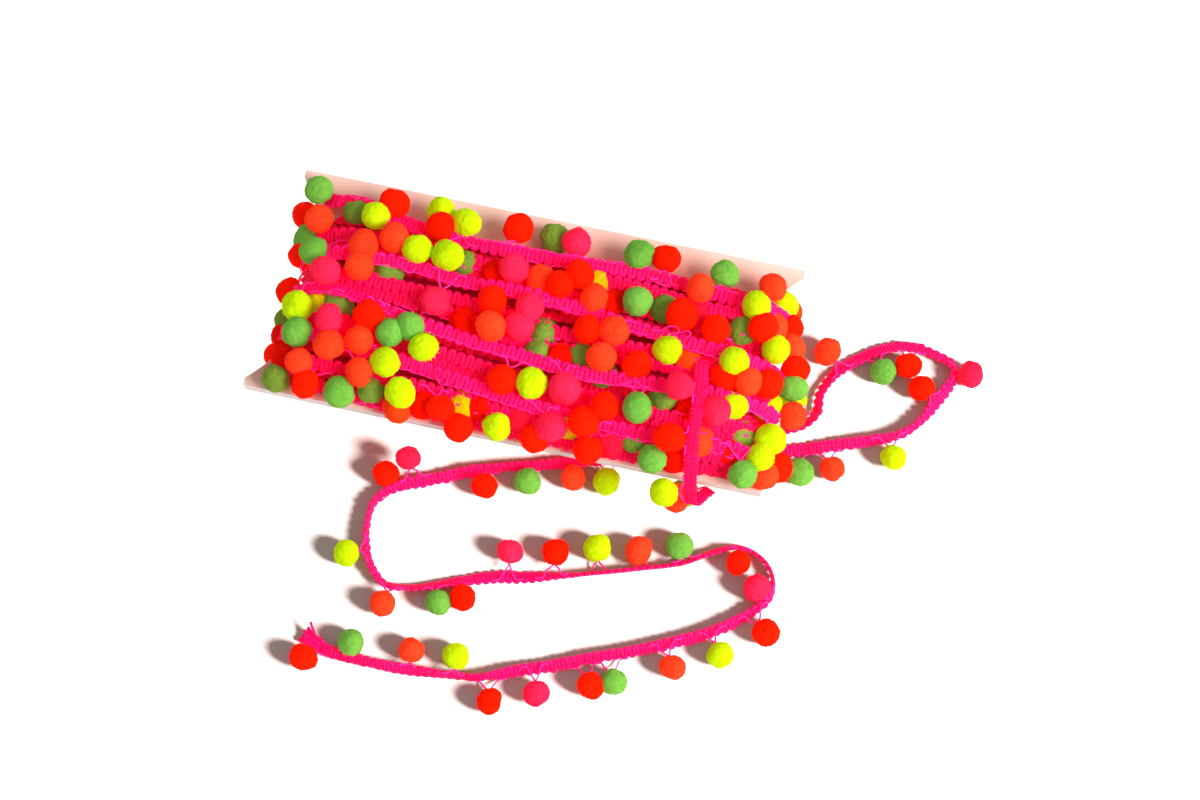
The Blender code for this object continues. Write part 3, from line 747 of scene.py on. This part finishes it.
# The core: a dark ridged sheet of painted shade below the inner turns.
deepest_yarn = yarn("deepest yarn", (0.45, 0.0, 0.03), (0.2, 0.0, 0.01), 1800.0, 0.0002, 0.03)
CORE_DEEP = 4.6
CORE_NEAR = -40.5
CORE_FAR = 33.0
CORE_WAYS = 160
CORE_ROWS = 60
CORE_RIDGE = 6.4
CORE_RIDGE_TALL = 1.1
way = np.linspace(0, 4, CORE_WAYS, endpoint=False)
core_points = np.concatenate([
    skin(way, LOAF_MIDDLE_Y + row + 0 * way,
         -CORE_DEEP + CORE_RIDGE_TALL * abs(math.sin(math.pi * row / CORE_RIDGE)) ** 0.6)
    for row in np.linspace(CORE_NEAR, CORE_FAR, CORE_ROWS)])
wound.append(make("deepest_turns", [(core_points, walls(CORE_ROWS, CORE_WAYS))], deepest_yarn))


# ---------------------------------------------------------------- the strap
# The last turn, pulled tight across the roll near its right end with its finer back
# outward, and tucked under the card's near edge. Three of its pompoms are on top and two
# peep out below the card.

STRAP_ROUTE = (
    # x, y, z of the braid's middle
    (72.5, -0.5, 39.0), (69.0, -6.0, 42.2), (69.8, -13.0, 44.6), (70.6, -21.0, 45.0),
    (71.0, -29.0, 44.3), (71.4, -36.0, 42.3), (72.2, -43.0, 37.8), (73.6, -49.6, 31.7),
    (74.9, -53.8, 25.0), (76.3, -53.0, 20.5), (78.3, -49.5, 17.8), (81.0, -45.0, 15.6),
)
RIB_BACK = 0.85
BACK_UP = 0.6
ROLL_BALL = 5.55  # radius of the roll's pompoms
STRAP_POMPOMS = (
    # x, y, z, colour
    (62.6, -18.6, 48.6, "pink"), (62.4, -37.5, 44.6, "red"), (64.6, -54.0, 28.5, "yellow"),
    (68.9, -51.4, 17.0, "coral"), (71.8, -47.0, 11.0, "green"),
)
back_yarn = yarn("braid back", (1.0, 0.003, 0.14), (0.8, 0.001, 0.06), 3200.0, 0.00008)
strap_run = smooth(STRAP_ROUTE)
strap_line = Line(strap_run, np.tile((1.0, 0.0, 0.0), (len(strap_run), 1)))
strap = make("strap_braid", ribs(strap_line, RIB_BACK, up=BACK_UP), back_yarn, warp_yarn)
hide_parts("strap")
strap_threads = []
strap_balls = {}
for x, y, z, colour in STRAP_POMPOMS:
    middle = np.array((x, y, z))
    nearest = int(np.argmin(np.linalg.norm(strap_run - middle, axis=1)))
    strap_threads += tie(strap_line, strap_line.marks[nearest], -1, middle, ROLL_BALL)
    strap_balls[colour] = pompom(middle, unit(strap_run[nearest] - middle), ROLL_BALL)
worn_strap = [strap, make("strap_threads", strap_threads, tying_thread)]
for colour, parts in strap_balls.items():
    worn_strap.append(make(f"strap_{colour}_pompom", parts, pompom_dyes[colour]))


# ---------------------------------------------------------------- pompoms on the roll
# The same shorn pompoms. Those on top lie where the last turns left them. Underneath, each
# turn carries them at the trim's pitch. All are squeezed against each other and the braids.

TOP_POMPOMS = (
    # colour, height over the loaf, then x, y of each
    ("coral", 0, ((-40, -43.6), (63, -5), (92, 19))),
    ("coral", 2, ((2, 15.5), (23.7, 11.4), (73.7, -34.4))),
    ("coral", 5, ((-87, 22), (-79, -36), (-69, -28), (-66, 12), (-65, 4), (-58, -25),
                  (-56, -36), (-56, 19), (-11.4, -9), (32, -12), (34, -1), (62, 24), (87, -9),
                  (89, 32), (99, -39.5), (101, 14), (106, -13))),
    ("green", -5, ((-90, -17), (-87, -42), (-42, -12), (33, -15))),
    ("yellow", -5, ((96, -11), (-48, -14))),
    ("green", 0, ((-92, 18), (-74, 30), (-71, -10), (-56, 7), (-51, -40), (-28, 17), (3, 36),
                  (8, -12.6), (8.3, -4.8), (23, -11), (50, -38), (50, 14), (58, -21), (81, 12))),
    ("green", -2, ((88.3, -26.3),)),
    ("green", 5, ((-91, 36), (-84, 8), (-82, -25), (-62, -44), (-47, -19), (-41, -15), (36, 34),
                  (40, 13), (49, -28), (58, -44), (70, 33), (92, -42), (104, -1))),
    ("pink", 5, ((-77, 0), (-71, -19), (-34, -4), (-8, 16), (1, 2), (12, 34),
                 (19, -41), (21, -27), (77, -23))),
    ("red", -5, ((-95.5, 27.5), (-93, -5.2), (-91.7, 11), (-90, -22.8), (-85.5, -34))),
    ("pink", 0, ((6, -37.5), (42, -40.3), (62.5, 13.1))),
    ("pink", 2, ((-1, -5),)),
    ("red", 0, ((-30, -41.4), (-23, -7), (-17, 15), (-9, -37.2), (16.1, -12.3), (31, 13),
                (65.7, -40.7), (66.7, -24.2), (84.5, -34.5), (98, 23), (104, -34), (104, 5))),
    ("red", 2, ((79, -8),)),
    ("red", 5, ((-75, -43), (-60, 34), (-57, -14), (-40, 27), (-23, -42), (-15, -46),
                (-13, 1), (-11, 35), (-2, -28), (10, 13), (14, -45), (16, 19), (24, -3),
                (31, -37), (34, -45), (37, -30), (45, -13), (47, 35), (58, 11), (71, 8),
                (88, 13), (94, -7))),
    ("yellow", 0, ((-79, -11), (-16, -39), (23, 19), (24.5, -37.4), (94.2, 29.6))),
    ("yellow", 2, ((55.3, -3.4), (83.9, -18.2))),
    ("yellow", 5, ((-85, -15), (-65, 27), (-47, -30), (-46, 16), (-42, 36), (-39, -40),
                   (-34, -22), (-34, 16), (-31, 32), (-1, -44), (9, -27), (80, -3),
                   (84, 22), (94, 8), (97, -35), (99, -26))),
)
SETTLE_ROUNDS = 120
YIELD = 0.4  # share of an overlap that one round clears, between pompoms
YIELD_FIXED = 0.7  # and against what can't move
PULL_BACK = 0.04  # share of the way back that the threads pull in a round
SLACK = 5.5
TOP_SLACK = 0.7
BALL_ROOM = 10.0
BRAID_ROOM = 6.9
CORE_ROOM = 2.6
STRAP_ROOM = 8.6
LOOSE_ROOM = 8.5
CLOSEST = 7.6  # two pompoms nearer than this can't both fit
RIDE_UP = 1.0  # how much more the pompoms above the loaf stand up, and the rest sink
SINK_IN = 0.5
SUNK_WITHIN = 91.0
OVER_CARD = (92.0, 30.0)  # half length and half width past which the card carries them
CARD_REACH = (98.0, 33.0)  # and past which it parts them when they are pushed
SIDES_ON_TOP = (-47.0, 38.5)
SIDES_UNDER = (-35.0, 36.0)


def resting(x, y, height):
    """Where the middle of a pompom lies that rests at a height over the loaf."""
    round_end = abs(x) - HALF_LENGTH + END_ROUND + (LEFT_SHORT if x < 0 else 0)
    round_end = min(1.0, max(0.0, round_end) / (END_ROUND + height))
    z = MIDDLE + (crown(y, RISE_OVER) + height) * math.sqrt(1 - round_end ** 2)
    if abs(x) < OVER_CARD[0] and abs(y) > OVER_CARD[1]:
        z = max(z, MIDDLE + CARD_THICK / 2 + ROLL_BALL)
    return np.array((x, y, z))


def settle(starts, fixed, rooms, slack):
    """Push crowded pompoms off each other and off fixed places, within their slack."""
    places = starts.copy()
    for _ in range(SETTLE_ROUNDS):
        apart = places[:, None] - places[None]
        far = np.linalg.norm(apart, axis=2) + np.eye(len(places)) * 1e6
        push = np.clip(BALL_ROOM - far, 0, None) / far * YIELD
        move = (apart * push[:, :, None]).sum(axis=1)
        apart = places[:, None] - fixed[None]
        far = np.linalg.norm(apart, axis=2)
        push = np.clip(rooms[None] - far, 0, None)
        worst = push.argmax(axis=1)
        each = np.arange(len(places))
        move += (apart[each, worst] / far[each, worst][:, None]
                 * push[each, worst][:, None] * YIELD_FIXED)
        places = places + move + (starts - places) * PULL_BACK
        gone = places - starts
        length = np.linalg.norm(gone, axis=1, keepdims=True)
        places = starts + gone * np.minimum(1, slack / np.maximum(length, 1e-6))
        below = places[:, 2] < MIDDLE
        places[:, 1] = np.clip(places[:, 1], np.where(below, SIDES_UNDER[0], SIDES_ON_TOP[0]),
                               np.where(below, SIDES_UNDER[1], SIDES_ON_TOP[1]))
        places[:, 2] = np.maximum(places[:, 2], BALL + 0.1)
        over = (abs(places[:, 0]) < CARD_REACH[0]) & (abs(places[:, 1]) > CARD_REACH[1])
        upper = np.maximum(places[:, 2], MIDDLE + CARD_THICK / 2 + BALL)
        lower = np.minimum(places[:, 2], MIDDLE - CARD_THICK / 2 - BALL)
        places[:, 2] = np.where(over, np.where(places[:, 2] > MIDDLE, upper, lower),
                                places[:, 2])
    return places


def join(pairs):
    """Points and the room each asks for, from (points, room) pairs."""
    return (np.concatenate([points for points, _ in pairs]),
            np.concatenate([np.full(len(points), room) for points, room in pairs]))


around_them = [(line.middles[::10], BRAID_ROOM) for line in turn_lines]
around_them += [(core_points[::7], CORE_ROOM), (strap_run[::6], STRAP_ROOM),
                (np.array([place[:3] for place in STRAP_POMPOMS]), BALL_ROOM)]
# Pompoms at or below the loaf, away from its ends, take the darker, redder dyes of painted shade
# and painted red bounce light.
top_colours = [colour + "_sunk" * (height <= 0 and abs(x) < SUNK_WITHIN)
               for colour, height, places in TOP_POMPOMS for x, y in places]
top_starts = np.array([resting(x, y, height + (RIDE_UP if height > 0 else -SINK_IN))
                       for _, height, places in TOP_POMPOMS for x, y in places])
top_places = settle(top_starts, *join(around_them), TOP_SLACK)

# Each is tied to the nearest turn. Some of the uppermost have slid off the turn behind, so
# that their threads show.
TIE_EVERY = 4
DANGLING = 0.6
DANGLE = 9.5
DANGLE_ROOM = (7.5, 12.0)
tie_places = np.concatenate([line.middles[::TIE_EVERY] for line in turn_lines])
each_turn = len(tie_places) // len(turn_lines)
hung = []
for middle, colour in zip(top_places, top_colours):
    apart = tie_places - middle
    far = np.linalg.norm(apart, axis=1)
    behind = ((far > DANGLE_ROOM[0]) & (far < DANGLE_ROOM[1])
              & (apart[:, 1] > 0.75 * far) & (apart[:, 2] > -4))
    if colour in POMPOM_COLOURS and behind.any() and chance.random() < DANGLING:
        far = np.where(behind, abs(far - DANGLE), far + 20)
    number, step = divmod(int(np.argmin(far)), each_turn)
    line, step = turn_lines[number], step * TIE_EVERY
    hand = 1 if (middle - line.middles[step]) @ line.across[step] > 0 else -1
    hung.append((middle, line, line.marks[step], hand, colour, 4))

# Underneath, they hang at the pitch, counted from half way round the left end.
HANG = 6.5
HANG_IN = 2.0
lower = []
for line, turn in zip(turn_lines, TURNS):
    first, colour, step, hang = turn[4:]
    origin = float(line.marks[TURN_POINTS // 4]) + first
    marks = np.arange(origin % PITCH, line.length - 2, PITCH)
    before = round((origin - marks[0]) / PITCH)
    for k, mark in enumerate(marks):
        start = line.at(np.array([mark]), hang * HANG, -HANG_IN)[0]
        if start[2] <= MIDDLE - CARD_THICK / 2:
            dye = COLOUR_REPEAT[(colour + step * (k - before)) % len(COLOUR_REPEAT)]
            lower.append((start, line, mark, hang, dye))
around_them += [(top_places, BALL_ROOM)]
around_them += [(line.middles[::8], LOOSE_ROOM) for line in (tail_line, loop_line)]
lower_places = settle(np.array([each[0] for each in lower]), *join(around_them), SLACK)
for middle, (_, line, mark, hand, colour) in zip(lower_places, lower):
    crowd = min(np.linalg.norm(top_places - middle, axis=1).min(),
                np.linalg.norm(strap_run - middle, axis=1).min())
    if crowd > CLOSEST:
        hung.append((middle, line, mark, hand, colour, 3))

# The tying thread runs on along the edge of the turns on top, and stands off in curls.
FLOAT_STEP = 2.2
FLOAT_IN = 0.4
FLOAT_UP = 0.85
FLOAT_RADIUS = 0.24
CURLS = 16
CURL = 2.6
CURL_UP = 0.9
CURL_RADIUS = 0.27
CURL_PATH = (
    # along, in curl widths; across, in mm; up, in curl widths
    (-2.2, 0.4, 0), (-1.2, 1.6, 0.1), (-0.5, 3.2, 0.4), (0.4, 3.6, 0.6), (0.7, 2.2, 0.4),
    (0.2, 0.8, 0),
)
CURLED_TURNS = [1, 4, 7, 10]
threads = []
for line, turn in zip(turn_lines, TURNS):
    if turn[1] > ON_TOP:
        marks = np.arange(0, line.length, FLOAT_STEP)
        beside = turn[7] * (BRAID_WIDTH / 2 - FLOAT_IN + chance.normal(0, 0.25, len(marks)))
        above = FLOAT_UP + chance.normal(0, 0.12, len(marks))
        threads.append(thread(line.at(marks, beside, above), FLOAT_RADIUS, 3))
for _ in range(CURLS):
    line = turn_lines[chance.choice(CURLED_TURNS)]
    mark = chance.uniform(line.length * 0.28, line.length * 0.72)
    hand = chance.choice([-1, 1])
    wide = CURL * chance.uniform(0.7, 1.5)
    stops = [line.at(np.array([mark + along * wide]), hand * across, CURL_UP + up * wide)[0]
             for along, across, up in CURL_PATH]
    threads.append(thread(np.array(stops) + chance.normal(0, 0.4, (6, 3)), CURL_RADIUS))

ROLL_THREAD = 0.42
FIBRES = {4: 200, 3: 40}  # by a ball's detail
balls = {colour: [] for colour in pompom_dyes}
for middle, line, mark, hand, colour, detail in hung:
    foot = line.at(np.array([mark]), hand * BRAID_WIDTH / 2)[0]
    size = ROLL_BALL * chance.uniform(0.94, 1.06)
    balls[colour] += pompom(middle, unit(foot - middle), size, detail, FIBRES[detail])
    threads += tie(line, mark, hand, middle, size, ROLL_THREAD)
wound.append(make("winding_threads", threads, tying_thread))
for colour, parts in balls.items():
    if parts:
        wound.append(make(f"winding_{colour}_pompoms", parts, pompom_dyes[colour]))
for piece in wound:
    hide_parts("winding")
for piece in wound + worn_strap:
    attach(piece, "root")


# ---------------------------------------------------------------- the card
# White foam board, die cut with a round notch in each short end: a smooth paper face each
# side of a foam core, which shows at the cut edges and is set in a hair.

CARD_LENGTH = 200.0
CARD_WIDTH = 92.0
NOTCH_RADIUS = 60.0
NOTCH_DEPTH = 18.0
NOTCH_STEPS = 40
PAPER = 0.2
FOAM_SET_IN = 0.15


def card_outline(inset):
    """The board's outline, set in all round."""
    half_width, reach = CARD_WIDTH / 2 - inset, CARD_LENGTH / 2 - inset
    centre = CARD_LENGTH / 2 - NOTCH_DEPTH + NOTCH_RADIUS
    radius = NOTCH_RADIUS + inset
    open_angle = math.acos((centre - reach) / radius)
    angles = np.linspace(-open_angle, open_angle, NOTCH_STEPS + 1)
    right = np.column_stack((centre - radius * np.cos(angles), radius * np.sin(angles)))
    tips = np.array(((reach, half_width), (-reach, half_width)))
    return np.concatenate((right, tips, -right, -tips))


def plate(inset, low, high):
    """A flat layer of the board between two heights."""
    outline = card_outline(inset)
    n = len(outline)
    points = np.concatenate([np.column_stack((outline, np.full(n, z))) for z in (low, high)])
    faces = [[i, (i + 1) % n, n + (i + 1) % n, n + i] for i in range(n)]
    faces += [list(range(n))[::-1], list(range(n, 2 * n))]
    return points, faces


PAINTED_BOUNCE_HALF_WIDTH = 34.0  # half width of the face with the deepest painted pink bounce light and shade
# The paper faces are coloured salmon: painted pink bounce light from the trim and painted shade,
# deepest over the middle and paler towards the long edges.
paper = Dye("card paper", (0.8, 0.5, 0.42), roughness=0.42, Specular_IOR_Level=0.4)
sizing = paper.noise(900.0)
aside = paper.node("ShaderNodeSeparateXYZ", {}, {"Vector": paper.place}, out=1)
painted_bounce_fade = paper.between(aside * aside + sizing * 0.0002, (PAINTED_BOUNCE_HALF_WIDTH * MM) ** 2,
                      (CARD_WIDTH / 2 * MM) ** 2)
paper.set("Base Color", paper.blend(painted_bounce_fade, (0.7, 0.3, 0.22), (0.82, 0.52, 0.44)))
paper.bump(sizing, 0.00003)
foam = Dye("card foam", (0.6, 0.58, 0.57), roughness=0.85)
cells = foam.node("ShaderNodeTexVoronoi", {}, {"Vector": foam.place, "Scale": 1600.0})
foam.set("Base Color", foam.blend(cells, (0.53, 0.51, 0.5), (0.66, 0.64, 0.62)))
foam.bump(cells, 0.0002)
under = MIDDLE - CARD_THICK / 2
upper = MIDDLE + CARD_THICK / 2
card = make("foam_card", [plate(0.0, upper - PAPER, upper), plate(0.0, under, under + PAPER),
                          (*plate(FOAM_SET_IN, under + PAPER * 0.9, upper - PAPER * 0.9), 1)],
            paper.material, foam.material, smooth=False)
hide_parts("card")
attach(card, "root")


# ---------------------------------------------------------------- table top
# A plain white surface, a little rough. The low window lights it alone, past the roll, so
# the loose trim's shadows lie on it and the roll's own long one doesn't.

SPAN = 6.0
top = bpy.data.meshes.new("table")
top.from_pydata([(-SPAN, -SPAN, 0), (SPAN, -SPAN, 0), (SPAN, SPAN, 0), (-SPAN, SPAN, 0)], [],
                [(0, 1, 2, 3)])
white = Dye("table white", (0.45, 0.385, 0.365), roughness=0.7, Specular_IOR_Level=0.1)
top.materials.append(white.material)
table = bpy.data.objects.new("table", top)
bpy.context.scene.collection.objects.link(table)


def group(name, things):
    """A collection that a light can be tied to."""
    gathered = bpy.data.collections.new(name)
    for thing in things:
        gathered.objects.link(thing)
    return gathered


pieces = [thing for thing in bpy.context.scene.objects
          if thing.type == "MESH" and thing is not table]
window.light_linking.receiver_collection = group("on_the_table", pieces)
low_window.light_linking.receiver_collection = group("the_table", [table])
low_window.light_linking.blocker_collection = group(
    "loose", [piece for piece in pieces if piece.name.startswith(("tail", "loop"))])
